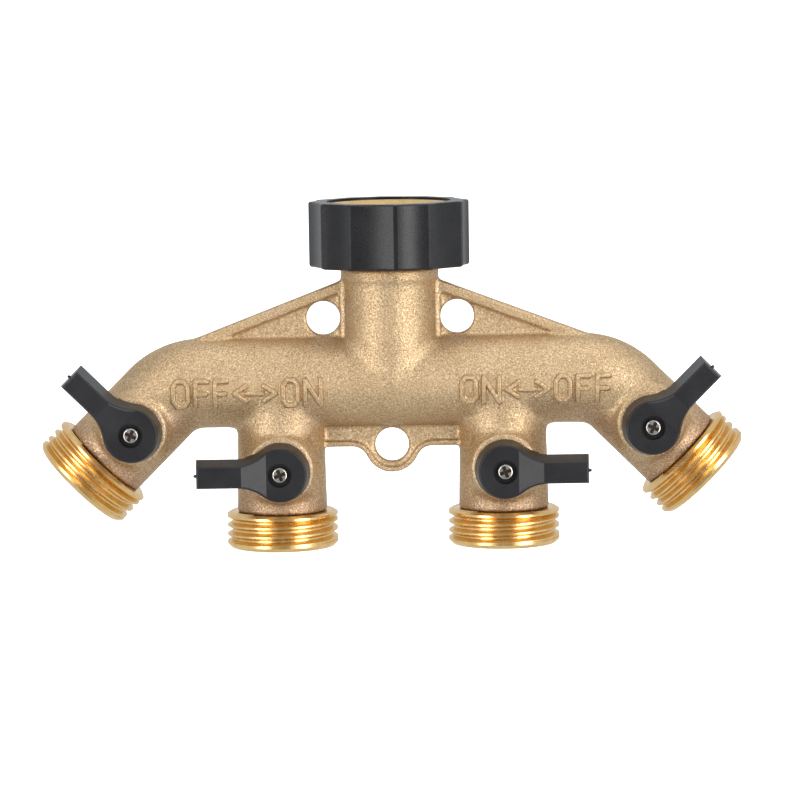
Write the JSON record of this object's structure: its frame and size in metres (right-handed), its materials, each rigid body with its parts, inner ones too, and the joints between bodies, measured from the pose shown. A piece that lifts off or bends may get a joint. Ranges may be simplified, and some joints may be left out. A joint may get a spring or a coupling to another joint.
{
  "type": "hose splitter",
  "caption": "Cast manifold that splits one garden hose inlet into valved threaded outlets, with a swivel inlet nut, quarter-turn levers and wall-mounting webs.",
  "frame": {"origin": "on the inlet axis, at the outer start of the swivel nut's thread", "axes": "+Z out of the inlet, +X along the manifold, -Y towards the side with the levers"},
  "size_m": [0.17, 0.0402, 0.0837],
  "materials": {
    "cast_brass": "sand-cast, matt, fine grain",
    "machined_brass": "turned, bright",
    "black_plastic": "fine moulded grain",
    "screw_steel": "plated steel",
    "black_rubber": "smooth",
    "seat_plastic": "waxy white",
    "ball_plastic": "polished"
  },
  "bodies": {
    "splitter": {"manifold_body": "cast_brass", "inlet_tailpiece": "machined_brass", "tailpiece_o_ring": "black_rubber", "left_outer_outlet_fitting": "machined_brass", "left_outer_seat_upstream": "seat_plastic", "left_outer_seat_downstream": "seat_plastic", "left_inner_outlet_fitting": "machined_brass", "left_inner_seat_upstream": "seat_plastic", "left_inner_seat_downstream": "seat_plastic", "right_inner_outlet_fitting": "machined_brass", "right_inner_seat_upstream": "seat_plastic", "right_inner_seat_downstream": "seat_plastic", "right_outer_outlet_fitting": "machined_brass", "right_outer_seat_upstream": "seat_plastic", "right_outer_seat_downstream": "seat_plastic"},
    "inlet_swivel": {"swivel_nut": "machined_brass", "swivel_grip": "black_plastic", "inlet_washer": "black_rubber"},
    "left_outer_valve": {"left_outer_ball": "ball_plastic", "left_outer_stem": "machined_brass", "left_outer_stem_o_ring_inner": "black_rubber", "left_outer_stem_o_ring_outer": "black_rubber", "left_outer_lever": "black_plastic", "left_outer_lever_screw": "screw_steel"},
    "left_inner_valve": {"left_inner_ball": "ball_plastic", "left_inner_stem": "machined_brass", "left_inner_stem_o_ring_inner": "black_rubber", "left_inner_stem_o_ring_outer": "black_rubber", "left_inner_lever": "black_plastic", "left_inner_lever_screw": "screw_steel"},
    "right_inner_valve": {"right_inner_ball": "ball_plastic", "right_inner_stem": "machined_brass", "right_inner_stem_o_ring_inner": "black_rubber", "right_inner_stem_o_ring_outer": "black_rubber", "right_inner_lever": "black_plastic", "right_inner_lever_screw": "screw_steel"},
    "right_outer_valve": {"right_outer_ball": "ball_plastic", "right_outer_stem": "machined_brass", "right_outer_stem_o_ring_inner": "black_rubber", "right_outer_stem_o_ring_outer": "black_rubber", "right_outer_lever": "black_plastic", "right_outer_lever_screw": "screw_steel"}
  },
  "joints": [
    {"name": "inlet_swivel_turn", "type": "hinge", "parent": "splitter", "child": "inlet_swivel", "pos_m": [0, 0, 0], "axis": [0, 0, 1], "continuous": true},
    {"name": "left_outer_lever_turn", "type": "hinge", "parent": "splitter", "child": "left_outer_valve", "pos_m": [-0.0624, 0, -0.0526], "axis": [0, 1, 0], "range_deg": [0, 90]},
    {"name": "left_inner_lever_turn", "type": "hinge", "parent": "splitter", "child": "left_inner_valve", "pos_m": [-0.027, 0, -0.0627], "axis": [0, 1, 0], "range_deg": [0, 90]},
    {"name": "right_inner_lever_turn", "type": "hinge", "parent": "splitter", "child": "right_inner_valve", "pos_m": [0.027, 0, -0.0627], "axis": [0, -1, 0], "range_deg": [0, 90]},
    {"name": "right_outer_lever_turn", "type": "hinge", "parent": "splitter", "child": "right_outer_valve", "pos_m": [0.0624, 0, -0.0526], "axis": [0, -1, 0], "range_deg": [0, 90]}
  ]
}
